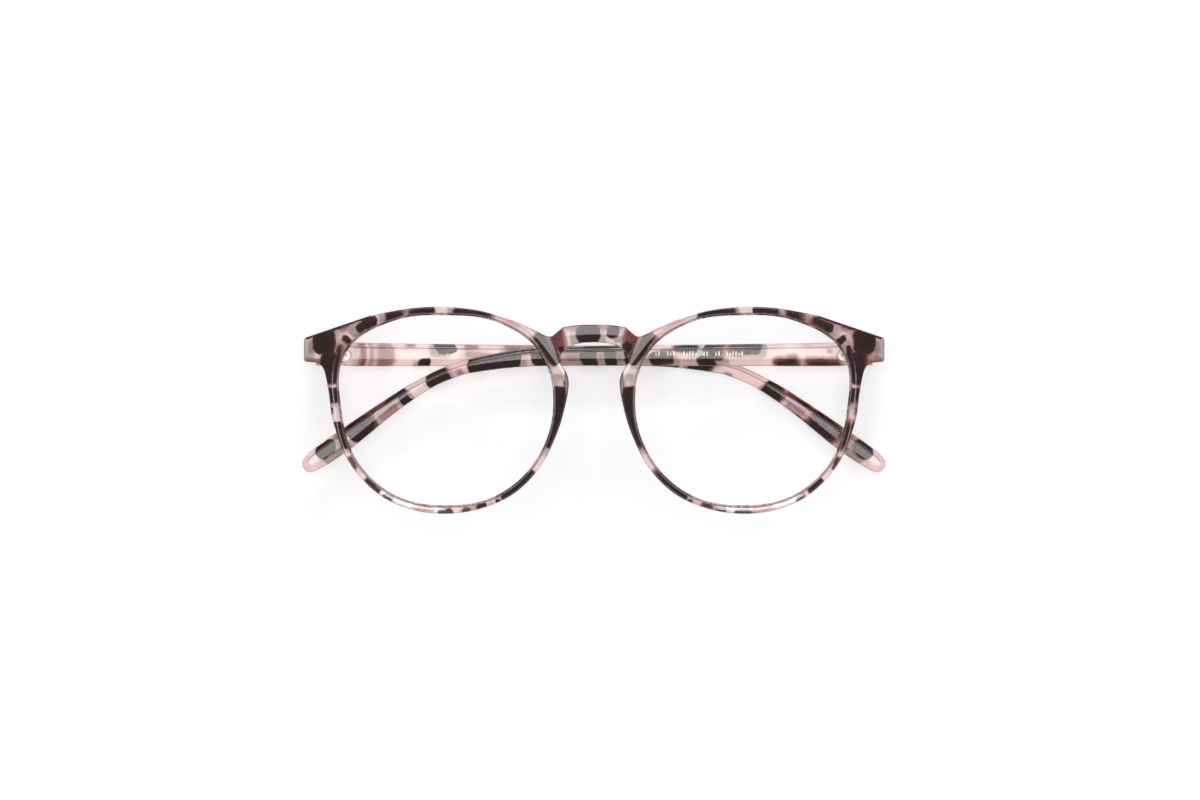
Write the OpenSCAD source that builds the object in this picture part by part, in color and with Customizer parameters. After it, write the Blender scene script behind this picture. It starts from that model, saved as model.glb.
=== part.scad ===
// Folded spectacles with clear plano lenses. The front lies level, face up, over its two
// folded temples. X runs along the brow, +Y towards the brow, +Z out of the front of the face.
// Left and right are the wearer's, so the left hinge is at +X.

/* [Front] */
// Width over the two end pieces
front_w = 135.2; // [134:0.1:136]
// Distance between the two lens centres
lens_pitch = 69; // [68.6:0.1:69.4]
// Thickness of the rims and bridge, front to back
front_t = 3.6; // [3.4:0.1:4]
// Radius of the front's bend around the face
front_bend_r = 300; // [280:10:400]
// How far the faceted bridge's crest stands out in front of the rims
bridge_rise = 1.5; // [1.3:0.1:1.7]
// How far the end pieces reach behind the rims
corner_depth = 2; // [1.8:0.1:2.6]
// How far the nose pads reach behind the rims
pad_depth = 4.5; // [3:0.1:5]

/* [Lenses] */
// Thickness of a lens
lens_t = 2; // [1.6:0.1:2.2]
// Radius of the lens's spherical faces
lens_r = 200; // [180:10:260]
// How far a lens's edge reaches into the rim's groove
groove_depth = 0.8; // [0.5:0.1:0.9]
// Width of the lens's edge in the groove
bevel_t = 1; // [0.8:0.1:1.2]
// Gap between a lens and its groove
lens_gap = 0.03; // [0.02:0.01:0.1]

/* [Temples] */
// Distance from the hinge axis to the far end of a temple
temple_reach = 132.5; // [132:0.1:133]
// Thickness of a temple at its hinge
root_t = 2.8; // [2.6:0.1:3]
// Thickness of a temple along its blade and tip
blade_t = 2.4; // [2:0.1:2.5]

/* [Hinges] */
// Distance of each hinge axis from the middle
hinge_x = 64.3; // [64:0.1:64.4]
// Height on the face of the middle of the hinge barrels
hinge_y = 13.7; // [13.6:0.1:13.8]
// Outer radius of the hinge barrels
barrel_r = 1.25; // [1.15:0.05:1.3]
// Radius of the hinge screw's shank
screw_r = 0.7; // [0.6:0.05:0.75]
// Radial running gap between the screw and the temple's barrel
pin_gap = 0.05; // [0.03:0.01:0.08]
// Angle from parallel with the front to fully open
open_angle = 93; // [90:0.5:94]

/* [Fold] */
// How far each folded temple leans, so that one passes behind the other
fold_lean = 1.2; // [1.15:0.05:1.4]

/* [Hidden] */
$fn = 48;
curve_steps = 5;      // straight pieces in each stretch of a drawn curve
rim_step = 5;         // degrees between the points of a lens outline

lens_x = lens_pitch / 2;
half_t = front_t / 2;

// Hinge: the axis lies behind the end piece, and the temple's inner face just behind the axis.
axis_gap = barrel_r + 0.35;         // axis to the end piece's rear face
inner_drop = 0.5;                   // axis to the inner face of the temple's root
outer_drop = inner_drop + root_t;   // axis to the temple's outer face
butt_gap = 0.12;                    // between temple and end piece when fully open
pocket_r = barrel_r + 0.15;
barrel_h = 1.3;                     // each of the front's two barrels
mid_barrel_h = 1.5;                 // the temple's one barrel
side_gap = 0.05;                    // between neighbouring barrels
stack_low = hinge_y - mid_barrel_h / 2 - side_gap - barrel_h;
stack_high = hinge_y + mid_barrel_h / 2 + side_gap + barrel_h;
leaf_t = 0.8;
leaf_depth = 0.6;                   // end piece's rear face to the buried leaf
front_leaf = [-0.7, 3.6];           // buried leaf's ends, inboard of the axis
front_neck = [-0.2, barrel_r];      // the necks' sides, inboard of the axis
window = [1.3, 1];                  // openings that lock the leaf into the plastic
window_x = 1.6;
temple_leaf = [1.55, 7.3];          // temple leaf's ends, inboard of the axis
temple_leaf_y = [11.5, 14.3];
leaf_hole_r = 0.4;
screw_head_r = 1.15;
screw_head_h = 0.5;
screw_slot = 0.3;
screw_tip = 1.1;                    // the shank's end below the lowest barrel

// Heights, measured from the front's middle surface at the bridge, then lifted so that the
// lowest temple tip stands on z = 0.
function bend_sag(x) = front_bend_r - sqrt(front_bend_r * front_bend_r - x * x);
corner_z = -bend_sag(hinge_x) - half_t - corner_depth;
axis_z = corner_z - axis_gap;
front_z = -axis_z + outer_drop * cos(fold_lean) + temple_reach * sin(fold_lean);

// Distance from the lens centre to the rim's inner edge, every 30 degrees from the temple
// side through the brow.
opening_radii = [24.35, 26.95, 24.1, 22.1, 23.7, 25.7, 24.9, 23.9, 23, 22.1, 23, 23.8];

// Half of the front's outline, as stretches that meet at corners.
end_x = front_w / 2;
bridge_top = [[0, 19.9], [4, 19.8], [7.3, 19.3]];
brow = [[9.8, 17.2], [11.3, 17.35], [15, 19.2], [20, 21.25], [27, 23.25], [35, 24.05], [43, 23.7],
        [52.3, 22]];
end_top = [[end_x - 0.9, 17.15], [end_x - 0.25, 16.85], [end_x, 16.3]];
end_low = [[end_x, 11.6], [end_x - 0.4, 11.3]];
outer_rim = [[64.8, 11.05], [63.4, 10.2], [62.6, 8.2], [61.8, 4], [60.7, -3], [57.1, -12],
             [50.6, -19.2], [42.9, -23], [34.5, -24.05], [26.2, -22.8], [18.4, -19.2],
             [12.3, -12.8], [8.4, -4.8], [6.6, 1.6], [5.9, 6], [6.4, 8.6], [7.9, 11]];
arch = [[8, 11.9], [7.3, 13.5], [5.6, 14.9], [3, 15.6], [0, 15.8]];

// Facets of the raised bridge, each as a point on it, [x, y, height above the rims' front face],
// and its slope. The crest is at crest_y.
crest_y = 17.05;
brow_facet = [[0, crest_y, bridge_rise], [0, -0.15]];
face_facet = [[0, crest_y, bridge_rise], [0, 0.1]];
side_facets = [[[6.7, crest_y, bridge_rise], [-0.44, 0]],
               [[8.27, 11.6, 0], [-1.45, 0.49]],
               [[8, 11.4, 0], [0, 1.2]]];

// Edge of a temple, from the butt's top corner round the tip to its bottom corner: x from the
// hinge axis towards the tip, y up the face.
temple_edge = [[-2, 16.3], [2, 16.2], [7, 15.9], [20, 15.6], [40, 15.35], [64, 15.1], [77.5, 14.7],
               [87, 13.35], [97.4, 10.8], [106.5, 6.5], [113.5, 2.2], [122.4, -3.8],
               [129.6, -8.9], [temple_reach - 0.8, -10.8], [temple_reach, -12.4],
               [temple_reach - 0.6, -13.8], [temple_reach - 2, -14.5], [127.5, -13.2],
               [120.5, -8.5], [110.5, -0.4], [102.6, 5], [97.4, 7.4], [92.4, 8.8], [80, 10.2],
               [62, 10.4], [40, 10.35], [12, 10.3], [5, 10.5], [2, 11.2], [-2, 11.3]];

// Catmull-Rom interpolation between b and c.
function between(a, b, c, d, t) =
    (2 * b + (c - a) * t + (2 * a - 5 * b + 4 * c - d) * t * t
     + (3 * b - a - 3 * c + d) * t * t * t) / 2;

// A smooth open curve through the points.
function curve(p) = let (last = len(p) - 1) concat(
    [for (i = [0:last - 1]) for (k = [0:curve_steps - 1])
        between(p[max(i - 1, 0)], p[i], p[i + 1], p[min(i + 2, last)], k / curve_steps)],
    [p[last]]);

// A smooth closed polar curve through equally spaced radii, widened by grow.
function polar_loop(radii, grow) = let (n = len(radii), sector = 360 / n) [
    for (a = [0:rim_step:359])
        let (i = floor(a / sector), t = a / sector - i,
             r = between(radii[(i + n - 1) % n], radii[i], radii[(i + 1) % n],
                         radii[(i + 2) % n], t))
        (r + grow) * [cos(a), sin(a)]];

function flipped(p) = [for (i = [len(p) - 1:-1:0]) [-p[i][0], p[i][1]]];

// Where the temple's butt meets the end piece at the open angle, at a depth below the axis.
function butt_x(depth) = -(axis_gap - butt_gap + depth * cos(open_angle)) / sin(open_angle);

module front_outline() {
    half = concat(curve(bridge_top), curve(brow), curve(end_top), curve(end_low),
                  curve(outer_rim), curve(arch));
    inner = [for (i = [1:len(half) - 2]) half[i]];
    polygon(concat(half, flipped(inner)));
}

// Side is 1 for the wearer's left, at +X, and -1 for the right.
module on_lens(side) translate([side * lens_x, 0, front_z]) mirror([side < 0 ? 1 : 0, 0, 0]) children();

// The hinge axis is at the origin, with +X inboard.
module on_hinge(side, lean = 0)
    translate([side * hinge_x, 0, front_z + axis_z]) rotate([0, lean, 0])
        mirror([side > 0 ? 1 : 0, 0, 0]) children();

module along_y(low, high, r) translate([0, high, 0]) rotate([90, 0, 0]) cylinder(h = high - low, r = r);

module bent_band() {
    height = 60;
    translate([0, 0, front_z - front_bend_r]) difference() {
        along_y(-height / 2, height / 2, front_bend_r + half_t, $fn = 180);
        along_y(-height / 2 - 1, height / 2 + 1, front_bend_r - half_t, $fn = 180);
    }
}

// The end pieces' rear blocks, which the front's outline trims.
module corner_blocks() {
    inner_edge = 59.6;
    low_edge = 11;
    for (side = [0, 1]) mirror([side, 0, 0])
        translate([inner_edge, low_edge, front_z + corner_z])
            cube([end_x - inner_edge, 10, corner_depth + half_t]);
}

// Everything behind a facet.
module behind(facet) {
    reach = 40;
    slope = facet[1];
    translate(facet[0] + [0, 0, front_z + half_t])
        rotate([asin(slope[1] / norm([slope[0], slope[1], 1])), -atan(slope[0]), 0])
            translate([-reach, -reach, -reach]) cube([2 * reach, 2 * reach, reach]);
}

module raised_bridge() {
    half_w = 10.2;
    intersection() {
        linear_extrude(front_z + 10) front_outline();
        translate([-half_w, 11.4, front_z]) cube([2 * half_w, 9, 5]);
        behind(brow_facet);
        behind(face_facet);
        intersection_for (facet = side_facets) behind(facet);
        mirror([1, 0, 0]) intersection_for (facet = side_facets) behind(facet);
    }
}

module nose_pad() {
    front_face = [[7.6, -3], [6.5, 1.6], [5.9, 5.6], [6.3, 8.3], [8.6, 8.3], [8.9, 3], [9.4, -3]];
    rear_face = [[8.6, -1.5], [7.7, 1.6], [7.3, 5], [7.8, 7.4], [8.6, 7.4], [9.2, 3], [9.4, -1.5]];
    hull() {
        translate([0, 0, front_z - half_t]) linear_extrude(0.6) polygon(front_face);
        translate([0, 0, front_z - half_t - pad_depth]) linear_extrude(0.6) polygon(rear_face);
    }
}

// A shell that follows the lens's two faces, bulging forwards about the tilted lens axis.
module lens_shell(thickness) {
    lead = 0.6;
    tilt = asin(lens_x / front_bend_r);
    translate([0, 0, -bend_sag(lens_x)]) rotate([0, tilt, 0]) translate([0, 0, lead - lens_r])
        difference() {
            sphere(r = lens_r + thickness / 2, $fn = 180);
            sphere(r = lens_r - thickness / 2, $fn = 180);
        }
}

module lens_solid(slack) {
    slab = 12;
    intersection() {
        translate([0, 0, -slab / 2 - 2]) linear_extrude(slab)
            polygon(polar_loop(opening_radii, -lens_gap + slack));
        lens_shell(lens_t);
    }
    intersection() {
        translate([0, 0, -slab / 2 - 2]) linear_extrude(slab)
            polygon(polar_loop(opening_radii, groove_depth - lens_gap + slack));
        lens_shell(bevel_t + slack);
    }
}

module front_frame() color([0.36, 0.22, 0.24]) difference() {
    union() {
        intersection() {
            linear_extrude(front_z + 10) front_outline();
            union() {
                bent_band();
                corner_blocks();
            }
        }
        raised_bridge();
        for (side = [0, 1]) mirror([side, 0, 0]) nose_pad();
    }
    for (side = [-1, 1]) {
        on_lens(side) translate([0, 0, -20]) linear_extrude(40) polygon(polar_loop(opening_radii, 0));
        on_lens(side) intersection() {
            translate([0, 0, -8]) linear_extrude(12) polygon(polar_loop(opening_radii, groove_depth));
            lens_shell(bevel_t + 2 * lens_gap);
        }
        on_hinge(side) front_leaf_solid();
    }
}

module lens(side) color([0.9, 0.92, 0.97, 0.3]) on_lens(side) lens_solid(0);

module front_leaf_solid() {
    for (low = [stack_low, stack_high - barrel_h]) {
        along_y(low, low + barrel_h, barrel_r);
        translate([front_neck[0], low, 0])
            cube([front_neck[1] - front_neck[0], barrel_h, axis_gap + leaf_depth]);
    }
    difference() {
        translate([front_leaf[0], stack_low, axis_gap + leaf_depth])
            cube([front_leaf[1] - front_leaf[0], stack_high - stack_low, leaf_t]);
        for (up = [-1, 1])
            translate([window_x, hinge_y + up * window[1] * 1.1 - window[1] / 2, axis_gap])
                cube([window[0], window[1], leaf_t + leaf_depth + 1]);
    }
}

module front_hinge_leaf(side) color([0.75, 0.74, 0.72]) on_hinge(side) difference() {
    front_leaf_solid();
    along_y(stack_low - 1, stack_high + 1, screw_r);
}

module temple_leaf_solid() {
    leaf_h = temple_leaf_y[1] - temple_leaf_y[0];
    low = hinge_y - mid_barrel_h / 2;
    along_y(low, low + mid_barrel_h, barrel_r);
    translate([0, low, -barrel_r]) cube([temple_leaf[0] + 0.4, mid_barrel_h, leaf_t]);
    translate([temple_leaf[0], temple_leaf_y[0], -inner_drop - leaf_t])
        cube([temple_leaf[1] - temple_leaf[0] - leaf_h / 2, leaf_h, leaf_t]);
    translate([temple_leaf[1] - leaf_h / 2, temple_leaf_y[0] + leaf_h / 2, -inner_drop - leaf_t])
        cylinder(h = leaf_t, r = leaf_h / 2);
}

module temple_hinge_leaf(side, lean) color([0.75, 0.74, 0.72]) on_hinge(side, lean) difference() {
    temple_leaf_solid();
    along_y(stack_low, stack_high, screw_r + pin_gap);
    translate([temple_leaf[1] - 1, hinge_y - 0.8, -3]) cylinder(h = 3, r = leaf_hole_r);
}

module hinge_screw(side) color([0.8, 0.8, 0.8]) on_hinge(side) {
    along_y(stack_low - screw_tip, stack_high, screw_r);
    difference() {
        along_y(stack_high, stack_high + screw_head_h, screw_head_r);
        translate([-2, stack_high + screw_head_h - screw_slot, -screw_slot / 2])
            cube([4, 1, screw_slot]);
    }
}

// The blade is the outline cut to the side profile, with its outer face flat.
module temple(side, lean) color([0.42, 0.26, 0.28]) on_hinge(side, lean) {
    taper_end = 22;
    blade_drop = outer_drop - blade_t;
    profile = [[butt_x(inner_drop), -inner_drop], [temple_leaf[1] + 1, -inner_drop],
               [taper_end, -blade_drop], [temple_reach + 1, -blade_drop],
               [temple_reach + 1, -outer_drop], [butt_x(outer_drop), -outer_drop]];
    difference() {
        intersection() {
            translate([0, 0, -5]) linear_extrude(6) polygon(curve(temple_edge));
            translate([0, 30, 0]) rotate([90, 0, 0]) linear_extrude(60) polygon(profile);
        }
        along_y(0, 30, pocket_r);
        translate([-4, 0, -pocket_r]) cube([4, 30, pocket_r + 1]);
        temple_leaf_solid();
    }
}

front_frame();
lens(1);  // left_lens
lens(-1);  // right_lens
temple(1, fold_lean);  // left_temple
temple(-1, fold_lean);  // right_temple
front_hinge_leaf(1);  // left_front_hinge_leaf
front_hinge_leaf(-1);  // right_front_hinge_leaf
temple_hinge_leaf(1, fold_lean);  // left_temple_hinge_leaf
temple_hinge_leaf(-1, fold_lean);  // right_temple_hinge_leaf
hinge_screw(1);  // left_hinge_screw
hinge_screw(-1);  // right_hinge_screw
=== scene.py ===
"""Folded tortoiseshell spectacles on a pale floor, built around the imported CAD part.

The front and the temples are meshed from distance functions, so that their facets, chamfers
and rounded edges are real geometry. They and the lenses stand in for the CAD's own; the metal
of the hinges is the CAD's. Lengths are in millimetres until a mesh is made, and the lengths in
materials, lamps and the camera are in metres.
"""

import math

import bpy
import numpy as np
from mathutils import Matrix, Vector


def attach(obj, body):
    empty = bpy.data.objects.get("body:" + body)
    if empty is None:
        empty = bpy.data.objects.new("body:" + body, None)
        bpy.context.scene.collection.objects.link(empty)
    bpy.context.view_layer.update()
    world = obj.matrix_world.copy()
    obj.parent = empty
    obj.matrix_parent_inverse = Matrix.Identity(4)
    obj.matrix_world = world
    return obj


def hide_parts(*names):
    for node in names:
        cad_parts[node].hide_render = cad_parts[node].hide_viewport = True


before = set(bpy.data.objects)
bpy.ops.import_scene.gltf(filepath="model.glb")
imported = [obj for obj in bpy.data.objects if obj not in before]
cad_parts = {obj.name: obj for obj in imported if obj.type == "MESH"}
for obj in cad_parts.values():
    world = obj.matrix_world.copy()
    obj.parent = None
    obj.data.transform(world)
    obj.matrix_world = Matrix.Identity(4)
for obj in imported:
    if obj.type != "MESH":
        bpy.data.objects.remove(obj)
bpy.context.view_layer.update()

MM = 0.001

# The part's own measures, as in the CAD source.
LENS_X = 34.5  # a lens centre, from the middle
HALF_T = 1.8  # half of the rims' thickness
BEND_R = 300.0  # the front's bend, seen from above
CORNER_DEPTH = 2.0  # the block behind each end piece
PAD_DEPTH = 4.5
LENS_T = 2.0
LENS_R = 200.0
GROOVE_DEPTH = 0.8
BEVEL_T = 1.0  # thickness of the lens's edge in the groove
LENS_LEAD = 0.6  # how far the lens's middle stands in front of the rims' middle surface
HINGE_X = 64.3
BARREL_R = 1.25
AXIS_GAP = BARREL_R + 0.35  # from the hinge axis to the end piece
INNER_DROP = 0.5  # from the hinge axis to the temple's inner face at the hinge
OUTER_DROP = INNER_DROP + 2.8
BLADE_DROP = OUTER_DROP - 2.4  # the inner face further along
BUTT_GAP = 0.12
OPEN_ANGLE = math.radians(93)
LEAN = math.radians(1.2)  # how far a folded temple leans, so that the two can pass
REACH = 132.5  # from the hinge axis to the tip
FIT = 0.03  # play between a lens and its groove

# The lens opening's radii at equal angles, from the temple's side and over the top.
OPENING_RADII = [24.35, 26.95, 24.1, 22.1, 23.7, 25.7, 24.9, 23.9, 23, 22.1, 23, 23.8]

# Half of the front's outline, from the middle of the bridge's top round to its underside, as
# stretches that meet at corners.
FRONT_STRETCHES = [
    [[0, 19.9], [4, 19.8], [7.3, 19.3]],
    [[9.8, 17.2], [11.3, 17.35], [15, 19.2], [20, 21.25], [27, 23.25], [35, 24.05],
     [43, 23.7], [52.3, 22]],
    [[66.7, 17.15], [67.35, 16.85], [67.6, 16.3]],
    [[67.6, 11.6], [67.2, 11.3]],
    [[64.8, 11.05], [63.4, 10.2], [62.6, 8.2], [61.8, 4], [60.7, -3], [57.1, -12],
     [50.6, -19.2], [42.9, -23], [34.5, -24.05], [26.2, -22.8], [18.4, -19.2],
     [12.3, -12.8], [8.4, -4.8], [6.6, 1.6], [5.9, 6], [6.4, 8.6], [7.9, 11]],
    [[8, 11.9], [7.3, 13.5], [5.6, 14.9], [3, 15.6], [0, 15.8]],
]

# A temple's outline from its butt along the top to the tip, and back along the bottom.
TEMPLE_EDGE = [
    [-2, 16.3], [2, 16.2], [7, 15.9], [20, 15.6], [40, 15.35], [64, 15.1], [77.5, 14.7],
    [87, 13.35], [97.4, 10.8], [106.5, 6.5], [113.5, 2.2], [122.4, -3.8], [129.6, -8.9],
    [131.7, -10.8], [132.5, -12.4], [131.9, -13.8], [130.5, -14.5], [127.5, -13.2],
    [120.5, -8.5], [110.5, -0.4], [102.6, 5], [97.4, 7.4], [92.4, 8.8], [80, 10.2],
    [62, 10.4], [40, 10.35], [12, 10.3], [5, 10.5], [2, 11.2], [-2, 11.3],
]
TIP_POINT = 14  # the edge's farthest point, where its top turns into its bottom
CURVE_STEPS = 8  # points to each stretch between two given points


def bend_sag(x):
    """How far the bent front falls back at x."""
    return BEND_R - np.sqrt(BEND_R**2 - x * x)


AXIS_Z = -float(bend_sag(HINGE_X)) - HALF_T - CORNER_DEPTH - AXIS_GAP
FRONT_Z = -AXIS_Z + OUTER_DROP * math.cos(LEAN) + REACH * math.sin(LEAN)
CORNER_Z = FRONT_Z + AXIS_Z + AXIS_GAP
HINGE_Z = FRONT_Z + AXIS_Z


# ---------------------------------------------------------------- curves and distances


def between(a, b, c, d, t):
    """Catmull-Rom interpolation from b to c, where a comes before them and d after."""
    return (2 * b + (c - a) * t + (2 * a - 5 * b + 4 * c - d) * t**2
            + (3 * b - a - 3 * c + d) * t**3) / 2


def curve(points):
    """A smooth line through the points."""
    p = np.array(points, float)
    last = len(p) - 1
    out = []
    for i in range(last):
        a, d = p[max(i - 1, 0)], p[min(i + 2, last)]
        out += [between(a, p[i], p[i + 1], d, k / CURVE_STEPS) for k in range(CURVE_STEPS)]
    return np.array(out + [p[last]])


def inside(x, y, loop):
    """True for the points inside a closed loop."""
    hit = np.zeros(x.shape, bool)
    for (x0, y0), (x1, y1) in zip(loop, np.roll(loop, -1, axis=0)):
        if y0 == y1:
            continue
        cross = (y0 > y) != (y1 > y)
        hit ^= cross & (x < x0 + (y - y0) * (x1 - x0) / (y1 - y0))
    return hit


def distance(x, y, line):
    """Distance to an open polyline, its gradient, and where the point is on the line itself.
    There the gradient is taken to point to the right of the line, which is the inside."""
    x, y = x.ravel(), y.ravel()
    best = np.full(x.shape, 1e9)
    gx, gy, nx, ny = (np.zeros(x.shape) for _ in range(4))
    for (x0, y0), (x1, y1) in zip(line[:-1], line[1:]):
        ex, ey = x1 - x0, y1 - y0
        length2 = ex * ex + ey * ey
        if length2 < 1e-12:
            continue
        t = np.clip(((x - x0) * ex + (y - y0) * ey) / length2, 0, 1)
        dx, dy = x - (x0 + t * ex), y - (y0 + t * ey)
        d2 = dx * dx + dy * dy
        nearer = d2 < best
        best = np.where(nearer, d2, best)
        gx, gy = np.where(nearer, dx, gx), np.where(nearer, dy, gy)
        length = math.sqrt(length2)
        nx, ny = np.where(nearer, -ey / length, nx), np.where(nearer, ex / length, ny)
    d = np.sqrt(best)
    on = d < 1e-5
    safe = np.maximum(d, 1e-9)
    gx, gy = np.where(on, -nx, gx / safe), np.where(on, -ny, gy / safe)
    return d, gx, gy, on


def signed(x, y, line, loop):
    """Distance to the line, negative inside the loop."""
    shape = x.shape
    d, gx, gy, on = distance(x, y, line)
    s = np.where(on | inside(x.ravel(), y.ravel(), loop), -1.0, 1.0)
    return (s * d).reshape(shape), (s * gx).reshape(shape), (s * gy).reshape(shape)


def radius_at(angle):
    """The lens opening's radius at an angle in radians, with its slope."""
    radii = np.array(OPENING_RADII, float)
    n = len(radii)
    u = np.mod(angle, 2 * math.pi) * n / (2 * math.pi)
    i = np.floor(u).astype(int)
    t = u - i
    a, b, c, d = (radii[(i + k) % n] for k in (-1, 0, 1, 2))
    slope = (c - a + (2 * a - 5 * b + 4 * c - d) * 2 * t
             + (3 * b - a - 3 * c + d) * 3 * t**2) / 2 * n / (2 * math.pi)
    return between(a, b, c, d, t), slope


def soft_max(a, b, width):
    """The larger value, rounded where the two are closer than the width."""
    h = np.maximum(width - np.abs(a - b), 0) / width
    return np.maximum(a, b) + h * h * width / 4


def soft_min(a, b, width):
    return -soft_max(-a, -b, width)


def round_max(a, b, radius):
    """Two faces meeting in a rounded edge."""
    return np.minimum(np.maximum(a, b), -radius) + np.hypot(np.maximum(a + radius, 0),
                                                            np.maximum(b + radius, 0))


def ramp(x, low, high):
    """Smooth step from 0 at low to 1 at high, which may be the smaller of the two."""
    t = np.clip((x - low) / (high - low), 0, 1)
    return t * t * (3 - 2 * t)


# ---------------------------------------------------------------- meshing

GRID_STEP, QUICK_STEP = 0.25, 0.4
RELAX_ROUNDS = 3
LONGEST_MOVE = 0.2  # of a point in one go, on its way to the surface
SLOPE_STEP = 0.01  # for the slopes of a field, taken by differences


def surface_net(values, origin, step):
    """Quads around the zero level of a grid of values."""
    neg = values < 0
    nx, ny, nz = (n - 1 for n in values.shape)
    corners = [(i, j, k) for i in (0, 1) for j in (0, 1) for k in (0, 1)]
    count = sum(neg[i:i + nx, j:j + ny, k:k + nz].astype(np.int8) for i, j, k in corners)
    cells = np.argwhere((count > 0) & (count < 8))
    ids = np.full((nx, ny, nz), -1, np.int64)
    ids[tuple(cells.T)] = np.arange(len(cells))
    total, hits = np.zeros((len(cells), 3)), np.zeros(len(cells))
    for axis in range(3):
        for p in (0, 1):
            for q in (0, 1):
                start = np.zeros(3, int)
                start[(axis + 1) % 3], start[(axis + 2) % 3] = p, q
                end = start.copy()
                end[axis] = 1
                a = values[tuple((cells + start).T)]
                b = values[tuple((cells + end).T)]
                cut = (a < 0) != (b < 0)
                t = np.where(cut, a / np.where(cut, a - b, 1), 0)
                point = cells + start + t[:, None] * (end - start)
                total += point * cut[:, None]
                hits += cut
    points = total / hits[:, None] * step + np.array(origin)
    quads = []
    for axis in range(3):
        u, v = (axis + 1) % 3, (axis + 2) % 3
        lower = [slice(None)] * 3
        upper = [slice(None)] * 3
        lower[axis], upper[axis] = slice(0, -1), slice(1, None)
        a, b = neg[tuple(lower)], neg[tuple(upper)]
        edges = np.argwhere(a != b)
        ok = (edges[:, u] > 0) & (edges[:, v] > 0)
        ok &= (edges[:, u] < ids.shape[u]) & (edges[:, v] < ids.shape[v])
        edges = edges[ok]
        eu, ev = np.eye(3, dtype=int)[u], np.eye(3, dtype=int)[v]
        ring = [ids[tuple((edges - back).T)] for back in (eu + ev, ev, 0 * ev, eu)]
        quad = np.stack(ring, 1)
        outward = a[tuple(edges.T)]
        quad[~outward] = quad[~outward][:, ::-1]
        quads.append(quad)
    return points, np.concatenate(quads)


def relax(points, quads, field):
    """Spreads the points evenly and brings them onto the zero level."""
    edges = np.concatenate([quads[:, [i, (i + 1) % 4]] for i in range(4)])
    degree = np.bincount(edges.ravel(), minlength=len(points))
    for step in range(RELAX_ROUNDS + 1):
        if step:
            total = np.zeros_like(points)
            np.add.at(total, edges[:, 0], points[edges[:, 1]])
            np.add.at(total, edges[:, 1], points[edges[:, 0]])
            move = total / degree[:, None] - points
            grad = field(points)[1]
            unit = grad / np.maximum(np.linalg.norm(grad, axis=1, keepdims=True), 1e-6)
            move -= unit * np.sum(move * unit, axis=1, keepdims=True)
            points = points + 0.5 * move
        for _ in range(2):
            value, grad = field(points)
            size = np.maximum(np.sum(grad * grad, axis=1), 0.05)
            shift = -(value / size)[:, None] * grad
            longest = np.maximum(np.linalg.norm(shift, axis=1, keepdims=True), 1e-9)
            points = points + shift * np.minimum(1, LONGEST_MOVE / longest)
    return points


def add_mesh(name, points, faces, smooth=True):
    """A new object from points in millimetres."""
    mesh = bpy.data.meshes.new(name)
    mesh.from_pydata((points * MM).tolist(), [], [list(map(int, f)) for f in faces])
    mesh.update()
    if smooth:
        mesh.polygons.foreach_set("use_smooth", [True] * len(mesh.polygons))
    obj = bpy.data.objects.new(name, mesh)
    bpy.context.scene.collection.objects.link(obj)
    return obj


def sampled(plane, shape, x, y, z):
    """Values of a field on a grid; its plane distances are found once for each column."""
    gx, gy = np.meshgrid(x, y, indexing="ij")
    return shape(gx[:, :, None], gy[:, :, None], z[None, None, :],
                 [p[:, :, None] for p in plane(gx, gy)])


def field_of(plane, shape):
    """The field's value and gradient at points, from its plane distances and their slopes."""
    def field(points):
        x, y, z = points.T
        base, slopes = plane(x, y, slopes=True)
        value = shape(x, y, z, base)
        grad = np.empty_like(points)
        for axis in range(3):
            sides = []
            for s in (-SLOPE_STEP, SLOPE_STEP):
                px, py, pz = (c + s * (axis == i) for i, c in enumerate((x, y, z)))
                moved = [b + s * g[axis] if axis < 2 else b for b, g in zip(base, slopes)]
                sides.append(shape(px, py, pz, moved))
            grad[:, axis] = (sides[1] - sides[0]) / (2 * SLOPE_STEP)
        return value, grad
    return field


def mesh_field(plane, shape, x_range, y_range, z_range):
    """Points, quads and normals of the surface where a field is zero."""
    step = GRID_STEP
    x, y, z = (np.arange(low, high, step) for low, high in (x_range, y_range, z_range))
    points, quads = surface_net(sampled(plane, shape, x, y, z), (x[0], y[0], z[0]), step)
    field = field_of(plane, shape)
    points = relax(points, quads, field)
    return points, quads, field(points)[1]


# ---------------------------------------------------------------- the front

LIP = 0.35  # how far the front lip stays back from the rear one

# The rims' inner chamfer, which is wider next to the nose: the angles about a lens centre, in
# degrees, where the wide part comes in and goes out again.
CHAMFER, CHAMFER_DROP, NOSE_EXTRA = 1.05, 0.65, 1.75
NOSE_IN, NOSE_OUT = (148, 172), (250, 215)

# The bridge stands proud. Two long facets meet in a crest, and each end has a facet and a cheek.
BRIDGE_RISE = 1.5
CREST_Y, CREST_BOW = 17.75, 0.01
UPPER_SLOPE, LOWER_SLOPE = 0.15, 0.1
END_FACET_X, END_FACET_SLOPE = 6.7, 0.44
CHEEK_X, CHEEK_Y, CHEEK_SLOPE_X, CHEEK_SLOPE_Y = 8.27, 11.6, 1.45, 0.49
BRIDGE_FOOT_Y, FOOT_SLOPE = 11.4, 1.2

# Each end piece has a block behind it, where the temple's butt comes to rest.
BLOCK_X, BLOCK_Y, BLOCK_DRAFT = 60.2, 11, 0.25

# A nose pad is an oval dome behind the rim, between the nose side and the lens side.
PAD_Y, PAD_HALF, PAD_DROP, PAD_END_X = 2.7, 5.7, 0.1, 14
NOSE_INSET, NOSE_LEAN = 0.1, 0.3
LENS_WALL, LENS_SIDE_LEAN = 0.5, 0.1
PAD_FALL = 4  # turns the oval's share of its size into millimetres

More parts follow.
